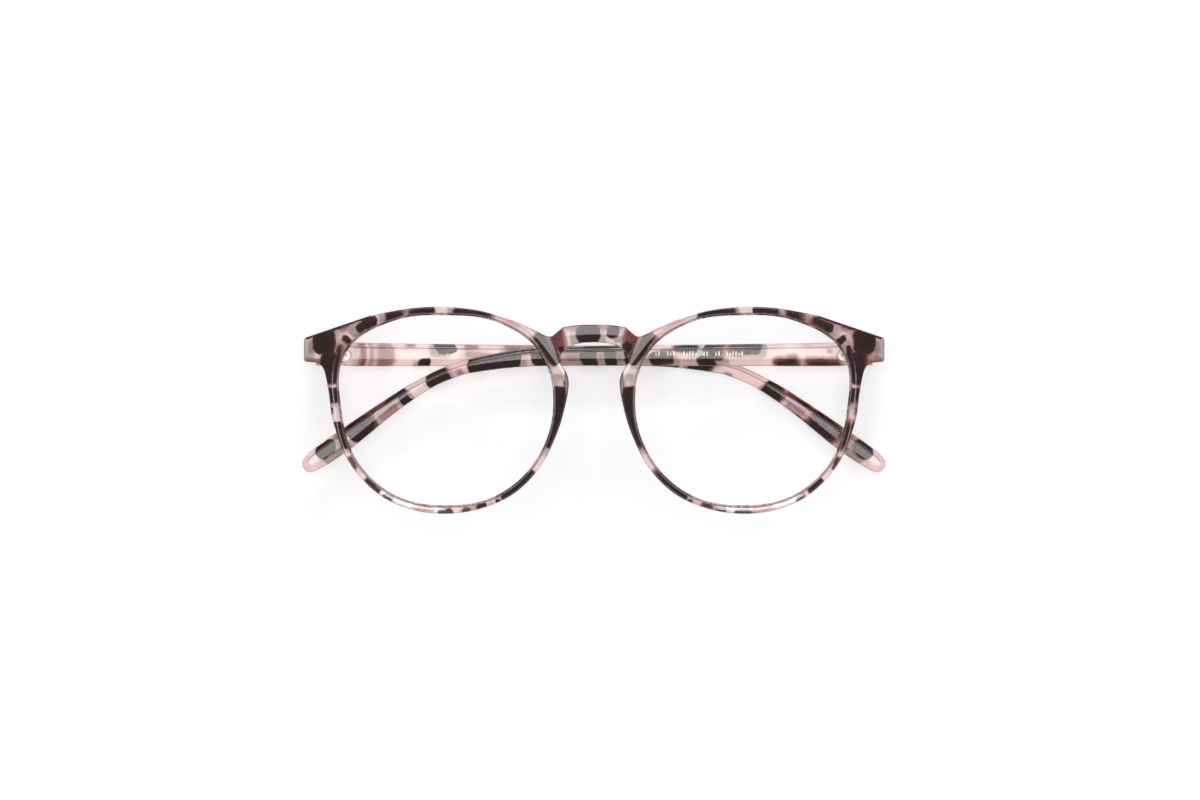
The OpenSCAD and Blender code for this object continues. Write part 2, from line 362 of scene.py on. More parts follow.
# The ranges of x, y and z that hold the whole front, with some room.
FRONT_BOX = (-68.5, 68.75), (-25, 25), (CORNER_Z - 1, FRONT_Z + 4.2)

FRONT_LINE = np.concatenate([curve(s) for s in FRONT_STRETCHES])


def opening(x, y):
    """Distance outside the lens opening, and the angle about the lens centre."""
    dx = np.abs(x) - LENS_X
    angle = np.arctan2(y, dx)
    r, slope = radius_at(angle)
    return (np.hypot(dx, y) - r) / np.sqrt(1 + (slope / r) ** 2), angle


def lens_height(x, y, offset=0.0):
    """Height of the lens's middle surface, or of a surface offset from it."""
    tilt = math.asin(LENS_X / BEND_R)
    back = LENS_R - LENS_LEAD
    cx = LENS_X - back * math.sin(tilt)
    cz = FRONT_Z - float(bend_sag(LENS_X)) - back * math.cos(tilt)
    return cz + np.sqrt((LENS_R + offset) ** 2 - (np.abs(x) - cx) ** 2 - y * y)


def front_plane(x, y, slopes=False):
    """What the front's field needs at a place on the face: the distance outside its outline."""
    d, gx, gy = signed(np.abs(x), y, FRONT_LINE, FRONT_LINE)
    if slopes:
        return [d], [(gx * np.sign(x), gy)]
    return [d]


def front_height(x, y, d_open, angle):
    """The front surface above the middle surface: flat rims, chamfers and bridge facets."""
    ax = np.abs(x)
    degrees = np.degrees(np.mod(angle, 2 * math.pi))
    chamfer = CHAMFER + NOSE_EXTRA * ramp(degrees, *NOSE_IN) * ramp(degrees, *NOSE_OUT)
    slope = HALF_T - CHAMFER_DROP * (1 - (d_open - LIP) / chamfer)
    rim = soft_min(HALF_T, slope, width=0.12)
    crest = CREST_Y - CREST_BOW * ax * ax
    block = soft_min(BRIDGE_RISE - UPPER_SLOPE * (y - crest),
                     BRIDGE_RISE + LOWER_SLOPE * (y - crest), width=0.05)
    end_facet = BRIDGE_RISE - END_FACET_SLOPE * (ax - END_FACET_X)
    cheek = -CHEEK_SLOPE_X * (ax - CHEEK_X) + CHEEK_SLOPE_Y * (y - CHEEK_Y)
    block = soft_min(block, end_facet, width=0.12)
    block = soft_min(block, cheek, width=0.15)
    block = soft_min(block, FOOT_SLOPE * (y - BRIDGE_FOOT_Y), width=0.2)
    return soft_max(rim, HALF_T + block, width=0.12)


def front_shape(x, y, z, base):
    """The front's field: negative in the plastic, and about a distance in millimetres."""
    d_out = base[0]
    ax = np.abs(x)
    w = z - (FRONT_Z - bend_sag(x))
    d_open, angle = opening(x, y)
    height = front_height(x, y, d_open, angle)
    block = soft_max(BLOCK_X - BLOCK_DRAFT * (z - CORNER_Z) - ax, BLOCK_Y - y, width=0.6)
    block = round_max(block, CORNER_Z - z, radius=0.35)
    depth = -w - HALF_T
    behind = np.maximum(depth, 0)
    nose_side = d_out + NOSE_INSET + NOSE_LEAN * behind
    lens_side = LENS_WALL + LENS_SIDE_LEAN * behind - d_open
    oval = np.hypot((y - PAD_Y + PAD_DROP * behind) / PAD_HALF, behind / PAD_DEPTH)
    pad = soft_max(nose_side, lens_side, width=1.0)
    pad = soft_max(pad, (oval - 1) * PAD_FALL, width=0.9)
    pad = np.maximum(pad, ax - PAD_END_X)
    rear = soft_min(soft_min(depth, block, width=0.5), pad, width=0.6)
    solid = round_max(d_out, w - height, radius=0.3)
    solid = round_max(solid, rear, radius=0.4)
    solid = round_max(solid, LIP * ramp(w, -0.15, 0.15) - d_open, radius=0.2)
    groove = np.maximum(d_open - GROOVE_DEPTH - FIT,
                        np.abs(z - lens_height(x, y)) - BEVEL_T / 2 - FIT)
    return np.maximum(solid, -groove)


# ---------------------------------------------------------------- the temples

# In a temple's own frame the hinge axis is at the origin and x runs to the tip.
EDGE_LOOP = curve(TEMPLE_EDGE)
EDGE_TOP = EDGE_LOOP[: TIP_POINT * CURVE_STEPS + 1]
EDGE_LOW = EDGE_LOOP[TIP_POINT * CURVE_STEPS:]
# The ranges of x, y and z that hold a whole temple.
TEMPLE_BOX = (-2.5, REACH + 1), (-15.5, 17.5), (-OUTER_DROP - 0.7, 0.5)

# The hinge leaf lies in a pocket in the inner face, which falls to the blade's level beyond it.
LEAF_X, LEAF_Y, LEAF_DEPTH = (1.55, 7.3), (11.5, 14.3), 0.85
LEAF_PLAY, LEAF_TAIL = 0.05, 0.4
FALL_FROM, FALL_TO = LEAF_X[1] + 1, 22
BARREL_PLAY = 0.15

# Bevels on the inner face: a shallow wide one and a steep narrow one along the top edge, and a
# shallow one along the bottom edge. Each is a width and a slope, and the wide one starts lower.
TOP_BEVEL, TOP_BEVEL_SLOPE = 1.25, 1.1
STEP_DROP, STEP_WIDTH, STEP_SLOPE = 0.42, 0.85, 0.45
LOW_BEVEL, LOW_BEVEL_SLOPE = 1.5, 0.5


def temple_plane(x, y, slopes=False):
    """The distance outside the temple's outline, and the distances to its top and bottom edges."""
    shape = x.shape
    top, tgx, tgy, t_on = (v.reshape(shape) for v in distance(x, y, EDGE_TOP))
    low, lgx, lgy, l_on = (v.reshape(shape) for v in distance(x, y, EDGE_LOW))
    within = inside(x.ravel(), y.ravel(), EDGE_LOOP).reshape(shape)
    s = np.where(t_on | l_on | within, -1.0, 1.0)
    edge = s * np.minimum(top, low)
    if not slopes:
        return [edge, top, low]
    nearer = top < low
    egx, egy = np.where(nearer, tgx, lgx) * s, np.where(nearer, tgy, lgy) * s
    return [edge, top, low], [(egx, egy), (tgx, tgy), (lgx, lgy)]


def inner_level(x):
    """The inner face's height along the temple."""
    t = np.clip((x - FALL_FROM) / (FALL_TO - FALL_FROM), 0, 1)
    return -INNER_DROP - (BLADE_DROP - INNER_DROP) * t


def temple_shape(x, y, z, base):
    """A temple's field: negative in the plastic, and about a distance in millimetres."""
    edge, top, low = base
    face = inner_level(x)
    upper = soft_max(-TOP_BEVEL_SLOPE * (TOP_BEVEL - top),
                     -STEP_DROP - STEP_SLOPE * (STEP_WIDTH - top), width=0.1)
    lower = -LOW_BEVEL_SLOPE * (LOW_BEVEL - low)
    crown = soft_min(soft_min(0.0, upper, width=0.08), lower, width=0.1)
    solid = round_max(edge, z - face - crown, radius=0.2)
    solid = round_max(solid, -OUTER_DROP - z, radius=0.6)
    butt = -(AXIS_GAP - BUTT_GAP - z * math.cos(OPEN_ANGLE)) / math.sin(OPEN_ANGLE)
    solid = round_max(solid, butt - x, radius=0.15)
    hollow = BARREL_R + BARREL_PLAY
    solid = np.maximum(solid, hollow - np.hypot(x, z))
    solid = np.maximum(solid, -np.maximum(x, -hollow - z))
    mid, half = sum(LEAF_Y) / 2, (LEAF_Y[1] - LEAF_Y[0]) / 2
    round_end = np.hypot(np.maximum(x - LEAF_X[1] + half, 0), y - mid) - half
    leaf = np.maximum(round_end, LEAF_X[0] - LEAF_TAIL - x) - LEAF_PLAY
    return np.maximum(solid, -np.maximum(leaf, -INNER_DROP - LEAF_DEPTH - z))


def on_hinge(points, side, vector=False):
    """From a temple's own frame to the row frame, folded."""
    x, y, z = points.T
    x = -x if side > 0 else x
    turned = np.stack([x * math.cos(LEAN) + z * math.sin(LEAN), y,
                       -x * math.sin(LEAN) + z * math.cos(LEAN)], 1)
    return turned if vector else turned + np.array([side * HINGE_X, 0, HINGE_Z])


# ---------------------------------------------------------------- the lenses


def build_lens(side):
    """A lens with its stepped edge, as rings of points from the front's middle to the rear's."""
    around, inner_rings = 288, 12
    angle = np.arange(around) * 2 * math.pi / around
    radius = radius_at(angle)[0] - FIT
    half, bevel, cut = LENS_T / 2, BEVEL_T / 2, 0.1
    tab, rounding = radius + GROOVE_DEPTH - 2 * FIT, 0.12
    edge = [(radius - cut, half), (radius, half - cut), (radius, bevel),
            (tab - rounding, bevel - 0.04), (tab, bevel - 0.04 - rounding)]
    rings = [(radius * k / inner_rings, half) for k in range(1, inner_rings)] + edge
    rings += [(r, -level) for r, level in reversed(rings)]
    points = [[LENS_X, 0, lens_height(LENS_X, 0.0, half)]]
    for r, level in rings:
        x, y = LENS_X + r * np.cos(angle), r * np.sin(angle)
        points += np.stack([x, y, lens_height(x, y, level)], 1).tolist()
    points.append([LENS_X, 0, lens_height(LENS_X, 0.0, -half)])
    ring = [(i, (i + 1) % around) for i in range(around)]
    faces = [(0, 1 + i, 1 + j) for i, j in ring]
    for k in range(len(rings) - 1):
        a, b = 1 + k * around, 1 + (k + 1) * around
        faces += [(a + i, b + i, b + j, a + j) for i, j in ring]
    last = 1 + (len(rings) - 1) * around
    faces += [(last + i, last + around, last + j) for i, j in ring]
    points = np.array(points)
    if side < 0:
        points[:, 0] *= -1
        faces = [f[::-1] for f in faces]
    return points, faces


# ---------------------------------------------------------------- tortoiseshell

# Dark patches: middle x, middle y, half width, half height, turn in degrees, and how dark
# the patch may get (-0.07 is mauve, 0.02 reddish brown and 1 nearly black). Rim patches are
# the same on both sides, and temple patches are in a temple's own frame.
RIM_PATCHES = [
    (62.9, 16.1, 2.6, 3.2, 0, 1), (59.6, 19.45, 8.0, 0.5, -18, 1),
    (58.3, 18.7, 1.4, 1.0, -18, -0.05), (61.2, 13.2, 1.1, 1.8, 0, 0.03),
    (59.6, 12.0, 0.6, 3.2, 8, 1), (61.6, 9.8, 2.2, 3.8, 0, 1), (57.2, 16.1, 1.6, 0.7, 40, 1),
    (65.0, 11.5, 2.3, 0.6, 0, 0.04), (66.0, 14.6, 0.4, 1.3, 0, 0.0), (60.6, 3.5, 2.6, 1.7, 0, 1),
    (61.1, -0.2, 0.25, 0.8, 0, 1), (58.2, -5.8, 4.5, 3.1, 0, 1), (56.4, -12.5, 0.7, 1.7, -28, 1),
    (51.5, -17.6, 2.3, 1.0, 38, 1), (48.0, -20.2, 1.2, 0.6, 28, 1),
    (39.2, -22.6, 2.2, 0.45, 8, 0.05), (34.5, -24.2, 2.0, 1.4, 0, 1), (29.7, -23.4, 1.0, 0.8, 0, 1),
    (26.0, -22.6, 1.3, 1.1, -15, 1), (22.3, -21.1, 0.5, 0.4, 0, 1), (17.6, -17.6, 4.9, 1.7, -46, 1),
    (9.3, -4.5, 2.6, 4.5, 0, 1), (8.2, 2.2, 2.2, 3.4, 8, 1), (6.5, 4.6, 0.5, 4.6, 4, 1),
    (10.9, 14.4, 4.4, 1.35, 57, 1), (15.6, 19.0, 5.0, 0.6, 24, -0.03), (28.4, 22.5, 4.5, 2.6, 0, 1),
    (39.9, 22.5, 2.9, 2.6, 0, 1), (46.5, 21.8, 2.1, 2.6, 0, 1), (53.0, 20.0, 2.7, 1.1, -24, 1),
]
BRIDGE_PATCHES = [
    (-8.9, 16.4, 2.5, 3.6, 10, 0.025), (0, 19.7, 7.4, 1.75, 0, -0.05), (-1.4, 17.6, 2.7, 2.6, 6, 1),
    (4.4, 18.3, 1.4, 1.5, 0, 1), (8.9, 16.6, 2.4, 3.4, -10, 0.02), (7.6, 14.4, 1.2, 1.5, -20, 1),
    (-7.4, 13.6, 0.5, 1.3, 20, 0.6),
]
RIGHT_TEMPLE_PATCHES = [
    (10.4, 13, 0.9, 3.4, 0, 0.04), (12.3, 13, 1.1, 3.4, 0, -0.05), (15.8, 13, 2.5, 3.4, 0, -0.04),
    (21.8, 15.3, 1.2, 0.7, 0, -0.02), (24.9, 10.9, 1.4, 1.3, 0, 1), (29.8, 14.9, 2.6, 1.7, 0, 1),
    (37.2, 12.9, 3.6, 1.5, -10, -0.05), (36.0, 14.8, 2.0, 1.1, 0, -0.02),
    (47.5, 14.6, 4.2, 1.3, 0, -0.02), (56.5, 12.0, 3.4, 2.0, 0, 1), (66.0, 13.4, 4.0, 2.0, 0, 1),
    (74.5, 12.0, 2.6, 2.8, 0, 1), (81.3, 10.9, 3.2, 1.3, -4, 1), (89.4, 10.3, 2.7, 2.0, -16, 1),
    (95.8, 8.0, 1.0, 0.7, -20, 0.05), (99.8, 5.9, 2.3, 0.4, -26, 0.5),
    (106.4, 4.3, 2.6, 2.7, -33, 1), (115.6, 0.3, 7.0, 0.6, -34, 1), (118.6, -3.6, 4.2, 2.7, -35, 1),
    (112.6, -2.0, 2.4, 0.6, -35, 0.6), (111.5, 0.4, 3.0, 1.5, -34, -0.075),
    (123.8, -7.2, 1.2, 2.5, -35, 0.0), (127.2, -9.0, 2.6, 1.9, -35, 1),
]
LEFT_TEMPLE_PATCHES = [
    (11.0, 11.0, 3.8, 0.9, 0, 1), (9.3, 13.8, 1.0, 0.9, 0, -0.03), (19.6, 11.2, 2.8, 1.1, -12, 1),
    (15.0, 15.4, 1.3, 0.5, 0, -0.03), (29.2, 14.7, 4.0, 1.7, 0, 1), (36.6, 14.2, 2.3, 1.9, 0, 1),
    (38.3, 11.4, 2.1, 1.4, 0, 1), (35.6, 12.1, 1.5, 0.4, -8, 1), (43.2, 14.7, 2.9, 1.2, 6, 1),
    (43.3, 11.6, 2.6, 0.7, 0, -0.06), (48.6, 12.2, 2.8, 1.5, -6, 1),
    (52.3, 12.6, 1.0, 1.2, 0, -0.04), (63.0, 14.5, 9.0, 0.8, -2, 1), (56.4, 12.9, 0.8, 2.6, 0, 1),
    (60.5, 12.9, 1.35, 2.6, 0, 1), (58.2, 12.5, 1.2, 1.4, 0, -0.04),
    (62.8, 12.5, 1.1, 1.4, 0, -0.05), (65.7, 12.9, 1.9, 2.8, 0, 1),
    (69.4, 12.3, 2.0, 1.2, 0, -0.03), (75.6, 12.6, 3.3, 2.8, -3, 1), (80.2, 14.0, 1.8, 0.8, -6, 1),
    (87.8, 11.6, 6.4, 2.7, -14, 1), (95.9, 8.9, 0.8, 0.7, -20, 0.02),
    (101.1, 7.7, 2.8, 2.7, -28, 1), (108.8, 2.9, 1.2, 2.6, -34, 1), (115.8, 0.2, 8.5, 0.7, -34, 1),
    (118.9, -3.8, 3.7, 2.7, -35, 1), (112.6, -0.4, 3.2, 1.5, -34, -0.06),
    (123.5, -7.0, 1.2, 2.4, -35, 0.0), (127.2, -9.0, 2.6, 1.9, -35, 1),
]

OUTSIDE = -4.0  # the depth of a point far from every patch
CORNER_SHARE = 0.8  # how round a patch's corners are, as a share of its smaller half size
# Mauve and brown patches, darkest below FADES_BELOW, fade in over their outermost millimetre.
FADE, FADE_DEPTH, FADES_BELOW = 0.11, 1, 0.1

# Patches lean as they go back through the plastic. For each millimetre below the skin, a point
# takes the colour from so much nearer to the middle, or to a temple's tip, and so much higher.
SKIN, SLANT_X, SLANT_Y = 0.8, 0.5, 0.35
TEMPLE_SLANT_X, TEMPLE_SLANT_Y = 0.6, 0.3

# Where the bridge's own patches take over from the rims'.
BRIDGE_LOW, BRIDGE_SIDE = 12, 6.5

# Painted shade at the walls of the two lips around a lens, darkening their colour: the
# distances where it begins and is full, from the nearest wall, and from the front lip outwards.
SHADED_LIP_WALL, SHADED_LIP_FADE = (0.14, 0.06), (0.3, 0.1)

# Painted shade on rounded edges, by the upright part of their normal: where it begins and is
# full, coming from a wall and from a face.
SHADED_EDGE_IN, SHADED_EDGE_OUT = (0.08, 0.25), (0.82, 0.62)


def patch_depth(x, y, patches):
    """How far inside a dark patch each point is (negative outside all of them), and how dark
    that patch may get."""
    best = np.full(x.shape, OUTSIDE)
    depths, caps = best.copy(), np.ones(x.shape)
    for cx, cy, hx, hy, turn, darkest in patches:
        c, s = math.cos(math.radians(turn)), math.sin(math.radians(turn))
        u, v = (x - cx) * c + (y - cy) * s, (y - cy) * c - (x - cx) * s
        corner = CORNER_SHARE * min(hx, hy)
        qx, qy = np.abs(u) - hx + corner, np.abs(v) - hy + corner
        depth = corner - np.hypot(np.maximum(qx, 0), np.maximum(qy, 0))
        depth -= np.minimum(np.maximum(qx, qy), 0)
        wins = np.minimum(depth, darkest) > best
        best = np.where(wins, np.minimum(depth, darkest), best)
        depths, caps = np.where(wins, depth, depths), np.where(wins, darkest, caps)
    return depths, caps - FADE * np.clip(FADE_DEPTH - depths, 0, 1) * (caps < FADES_BELOW)


def set_attribute(obj, name, values):
    """Gives each point of a mesh a value that its material can read."""
    attribute = obj.data.attributes.new(name, "FLOAT", "POINT")
    attribute.data.foreach_set("value", values.astype(np.float32))


def painted_edge_shade(normals):
    """Painted shade's share: 1 along rounded edges, 0 on walls, facets and chamfers."""
    rise = np.abs(normals[:, 2]) / np.maximum(np.linalg.norm(normals, axis=1), 1e-9)
    return ramp(rise, *SHADED_EDGE_IN) * ramp(rise, *SHADED_EDGE_OUT)


def smooth_mesh(name, points, faces, normals):
    """A new object that is shaded by the field's own slopes."""
    obj = add_mesh(name, points, faces)
    length = np.maximum(np.linalg.norm(normals, axis=1, keepdims=True), 1e-9)
    obj.data.normals_split_custom_set_from_vertices((normals / length).tolist())
    return obj


# ---------------------------------------------------------------- materials


class Nodes:
    """A material's node tree, with a short way to add and link nodes."""

    def __init__(self, name):
        self.material = bpy.data.materials.new(name)
        self.material.use_nodes = True
        self.tree = self.material.node_tree
        self.tree.nodes.clear()

    def add(self, kind, settings=None, **inputs):
        """A node of a kind. An input is named by its socket's name, or by i and its number."""
        node = self.tree.nodes.new("ShaderNode" + kind)
        for key, value in (settings or {}).items():
            setattr(node, key, value)
        for key, value in inputs.items():
            socket = node.inputs[int(key[1:]) if key[0] == "i" and key[1:].isdigit()
                                 else key.replace("_", " ")]
            if isinstance(value, bpy.types.NodeSocket):
                self.tree.links.new(value, socket)
            else:
                socket.default_value = value
        return node

    def math(self, operation, a, b=0.0, clamp=False):
        settings = {"operation": operation, "use_clamp": clamp}
        return self.add("Math", settings, i0=a, i1=b).outputs[0]

    def noise(self, vector, scale, detail=2.0, rough=0.5):
        """Noise between 0 and 1, with so many waves to a metre."""
        return self.add("TexNoise", Vector=vector, Scale=scale, Detail=detail,
                        Roughness=rough).outputs["Fac"]

    def ramp(self, value, stops):
        """A colour ramp, whose stops are each a position with a grey or a colour."""
        node = self.add("ValToRGB", Fac=value)
        elements = node.color_ramp.elements
        for i, (at, colour) in enumerate(stops):
            if isinstance(colour, (int, float)):
                colour = (colour,) * 3
            element = elements[i] if i < len(elements) else elements.new(at)
            element.position, element.color = at, (*colour[:3], 1)
        return node.outputs["Color"]

    def value(self, attribute):
        """A value that the mesh's points carry."""
        return self.add("Attribute", {"attribute_name": attribute}).outputs["Fac"]

    def mix(self, share, first, second):
        """The first shader, and the second in the given share."""
        node = self.add("MixShader", Fac=share)
        self.tree.links.new(first.outputs[0], node.inputs[1])
        self.tree.links.new(second.outputs[0], node.inputs[2])
        return node.outputs[0]

    def finish(self, shader):
        """The material, with its shader joined to the output."""
        out = self.add("OutputMaterial")
        self.tree.links.new(shader, out.inputs["Surface"])
        return self.material


# Colours of the plastic, from the pale parts to the middle of a dark patch.
PINK, ROSE, BROWN = (0.87, 0.74, 0.71), (0.45, 0.26, 0.25), (0.15, 0.042, 0.036)
DARK, DARKEST = (0.024, 0.004, 0.006), (0.014, 0.002, 0.003)
# Painted shade that darkens rounded edges and the lips' walls, and its share of the colour there.
PAINTED_EDGE_SHADE, PAINTED_SHADE_SHARE = (0.16, 0.085, 0.085, 1), 0.85
# Where the change from pink to dark begins, is half done, and ends, in that order of colours.
PALE_TO, HALF_WAY, DARK_FROM = 0.42, 0.5, 0.57


def tortoise_plastic():
    """Glossy, translucent pale pink plastic with dark patches through its whole thickness, and
    painted shade on its rounded edges and lip walls.
    """
    n = Nodes("tortoise_plastic")
    place = n.add("TexCoord").outputs["Object"]
    patch = n.value("patch")
    # Patch edges wander by a few tenths of a millimetre, and in places they blur.
    wander = n.math("MULTIPLY", n.math("SUBTRACT", n.noise(place, 420.0, 3.0), 0.5), 1.1)
    fine = n.math("MULTIPLY", n.math("SUBTRACT", n.noise(place, 1500.0, 2.0), 0.5), 0.3)
    level = n.math("ADD", n.math("ADD", patch, wander), fine)
    soft = n.ramp(n.noise(place, 90.0, 1.0), [(0.38, 0.14), (0.6, 1.0)])
    level = n.math("MULTIPLY", level, soft)
    level = n.math("MINIMUM", level, n.value("cap"))
    # 1 mm outside a patch becomes 0, its edge 0.5, and 1 mm inside it 1.
    level = n.math("ADD", n.math("MULTIPLY", level, 0.5), 0.5, clamp=True)
    colour = n.ramp(level, [(0.0, PINK), (PALE_TO, PINK), (0.465, ROSE), (0.51, BROWN),
                            (DARK_FROM, DARK), (1.0, DARKEST)])
    # Faint mauve clouds.
    cloud = n.ramp(n.noise(place, 170.0, 3.0), [(0.42, (1, 1, 1)), (0.72, (0.90, 0.80, 0.81))])
    colour = n.add("Mix", {"data_type": "RGBA", "blend_type": "MULTIPLY"}, i0=1.0, i6=colour,
                   i7=cloud).outputs[2]
    # Painted shade: rounded edges and lip walls are darkened in colour, standing in for how light
    # runs a long way through the plastic at an edge, and for the shade at the lips' walls.
    edge = n.math("MULTIPLY", n.value("edge"), PAINTED_SHADE_SHARE)
    colour = n.add("Mix", {"data_type": "RGBA"}, i0=edge, i6=colour, i7=PAINTED_EDGE_SHADE).outputs[2]
    clear = n.ramp(level, [(PALE_TO, 0.62), (HALF_WAY, 0.3), (DARK_FROM, 0.03)])
    rough = n.ramp(n.noise(place, 900.0, 4.0), [(0.3, 0.16), (0.8, 0.24)])
    bump = n.add("Bump", Strength=0.1, Distance=0.00004, Height=n.noise(place, 500.0, 2.0))
    plastic = n.add("BsdfPrincipled", Base_Color=colour, Roughness=rough, IOR=1.22,
                    Transmission_Weight=clear, Normal=bump.outputs[0])
    plastic.inputs["Coat Weight"].default_value = 1.0
    plastic.inputs["Coat Roughness"].default_value = 0.03
    plastic.inputs["Coat IOR"].default_value = 1.45
    n.tree.links.new(bump.outputs[0], plastic.inputs["Coat Normal"])
    # Light that passes on to the floor takes the plastic's colour.
    passing = n.ramp(level, [(PALE_TO, (0.84, 0.66, 0.64)), (HALF_WAY, (0.4, 0.2, 0.18)),
                             (DARK_FROM, (0.04, 0.02, 0.02))])
    see = n.add("BsdfTransparent", Color=passing)
    return n.finish(n.mix(n.add("LightPath").outputs["Is Shadow Ray"], plastic, see))


def clear_lens():
    """Clear plano lens with an anti-reflection coat that mirrors a faint violet blue."""
    n = Nodes("clear_lens")
    place = n.add("TexCoord").outputs["Object"]
    tint = n.ramp(n.noise(place, 25.0, 2.0), [(0.3, (0.72, 0.78, 1.0)), (0.7, (0.8, 0.74, 1.0))])
    mirror = n.add("BsdfAnisotropic", Color=tint, Roughness=0.03)
    see = n.add("BsdfTransparent", Color=(0.998, 0.998, 1, 1))
    # It mirrors only at a slant, by Schlick's law, and both faces alike because the light
    # isn't bent on its way through.
    facing = n.add("LayerWeight", Blend=0.5).outputs["Facing"]
    share = n.math("MULTIPLY", n.math("POWER", facing, 5.0), 0.8)
    return n.finish(n.mix(share, see, mirror))


def satin_metal(name, colour, rough):
    """Satin metal with fine turning marks, in its brighter colour and its middle roughness."""
    n = Nodes(name)
    place = n.add("TexCoord").outputs["Object"]
    stretched = n.add("Mapping", Vector=place, Scale=(1.0, 14.0, 1.0)).outputs[0]
    grain = n.noise(stretched, 900.0, 4.0, 0.6)
    shade = n.ramp(n.noise(place, 500.0, 3.0), [(0.3, tuple(c * 0.86 for c in colour)),
                                               (0.7, colour)])
    roughness = n.ramp(grain, [(0.2, rough * 0.7), (0.8, rough * 1.3)])
    bump = n.add("Bump", Strength=0.25, Distance=0.00003, Height=grain)
    metal = n.add("BsdfPrincipled", Base_Color=shade, Metallic=1.0, Roughness=roughness,
                  Normal=bump.outputs[0])
    return n.finish(metal.outputs[0])


def print_ink():
    """Slightly broken white pad print."""
    n = Nodes("print_ink")
    place = n.add("TexCoord").outputs["Object"]
    colour = n.ramp(n.noise(place, 2500.0, 3.0), [(0.25, (0.62, 0.6, 0.6)), (0.5, 0.9)])
    ink = n.add("BsdfPrincipled", Base_Color=colour, Roughness=0.55)
    return n.finish(ink.outputs[0])


# How clear the floor is at distances from the middle, which are shares of CLEAR_FROM metres.
CLEAR_FROM = 1.6
CLEARNESS = [(0.08, 0.5), (0.4, 0.8), (1.0, 1.0)]


def pale_floor():
    """Milky glass over a white room: shadows stay faint on it, and what's below shows through.
    Far from the object it clears, so that its edge never shows."""
    n = Nodes("pale_floor")
    place = n.add("TexCoord").outputs["Object"]
    colour = n.ramp(n.noise(place, 8.0, 2.0), [(0.3, 0.86), (0.7, 0.88)])
    milk = n.add("BsdfPrincipled", Base_Color=colour, Roughness=0.9)
    milk.inputs["Specular IOR Level"].default_value = 0.1
    see = n.add("BsdfTransparent", Color=(1, 1, 1, 1))
    away = n.add("VectorMath", {"operation": "LENGTH"}, i0=place).outputs["Value"]
    return n.finish(n.mix(n.ramp(n.math("DIVIDE", away, CLEAR_FROM), CLEARNESS), milk, see))


# ---------------------------------------------------------------- the pieces

LENS_SHARP = math.radians(32)  # edges sharper than this aren't smoothed

plastic = tortoise_plastic()
lens_material = clear_lens()
leaf_metal = satin_metal("hinge_metal", (0.56, 0.53, 0.50), 0.36)
screw_metal = satin_metal("screw_steel", (0.50, 0.49, 0.48), 0.34)

points, quads, normals = mesh_field(front_plane, front_shape, *FRONT_BOX)
front = smooth_mesh("front_frame_moulding", points, quads, normals)
x, y, z = points.T
# Painted shade: the walls of the two lips around a lens are darkened too, for the shade they
# fall in, and draw a double line there.
away = opening(x, y)[0]
painted_lip_shade = np.maximum(ramp(np.minimum(np.abs(away), np.abs(away - LIP)), *SHADED_LIP_WALL),
                      ramp(away - LIP, *SHADED_LIP_FADE) * (away > LIP))
set_attribute(front, "edge", np.maximum(painted_edge_shade(normals), painted_lip_shade))
below = np.maximum(FRONT_Z - bend_sag(x) + HALF_T - z - SKIN, 0)
x, y = x - np.sign(x) * SLANT_X * below, y + SLANT_Y * below
rim = patch_depth(np.abs(x), y, RIM_PATCHES)
middle = patch_depth(x, y, BRIDGE_PATCHES)
on_bridge = (y > BRIDGE_LOW) & ((np.abs(x) < BRIDGE_SIDE) | (middle[0] > rim[0]))
for name, i in (("patch", 0), ("cap", 1)):
    set_attribute(front, name, np.where(on_bridge, middle[i], rim[i]))
front.data.materials.append(plastic)
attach(front, "front")
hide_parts("front_frame")

points, quads, normals = mesh_field(temple_plane, temple_shape, *TEMPLE_BOX)
for side, word, patches in ((1, "left", LEFT_TEMPLE_PATCHES), (-1, "right", RIGHT_TEMPLE_PATCHES)):
    faces = quads[:, ::-1] if side > 0 else quads
    temple = smooth_mesh(f"{word}_temple_moulding", on_hinge(points, side), faces,
                         on_hinge(normals, side, vector=True))
    # Painted shade along the temple's rounded edges.
    set_attribute(temple, "edge", painted_edge_shade(normals))
    below = np.maximum(inner_level(points[:, 0]) - points[:, 2], 0)
    values = patch_depth(points[:, 0] + TEMPLE_SLANT_X * below,
                         points[:, 1] + TEMPLE_SLANT_Y * below, patches)
    for name, values in zip(("patch", "cap"), values):
        set_attribute(temple, name, values)
    temple.data.materials.append(plastic)
    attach(temple, f"{word}_arm")
    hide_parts(f"{word}_temple")

    lens = add_mesh(f"{word}_clear_lens", *build_lens(side))
    lens.data.set_sharp_from_angle(angle=LENS_SHARP)
    lens.data.materials.append(lens_material)
    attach(lens, "front")
    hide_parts(f"{word}_lens")

# Plain printed ticks on the inner face of the left temple: where each begins, how wide it is,
# and where it begins and ends across the temple. Every third one is shorter. They have clipped
# corners, and reach from just inside the plastic to just above it.
TICKS = (29.6, 30.3, 31.0, 31.7, 32.4, 33.1, 35.0, 35.7, 37.8, 38.5, 40.4, 41.1, 41.8, 42.5,
         43.2, 45.6, 46.3, 47.0, 49.0, 49.7)
TICK_WIDTH, TICK_LOW, TICK_HIGH, TICK_SHORTER = 0.3, 12.75, 13.75, 0.35
TICK_CUT, TICK_ROOT, TICK_FACE = 0.07, -0.02, 0.03


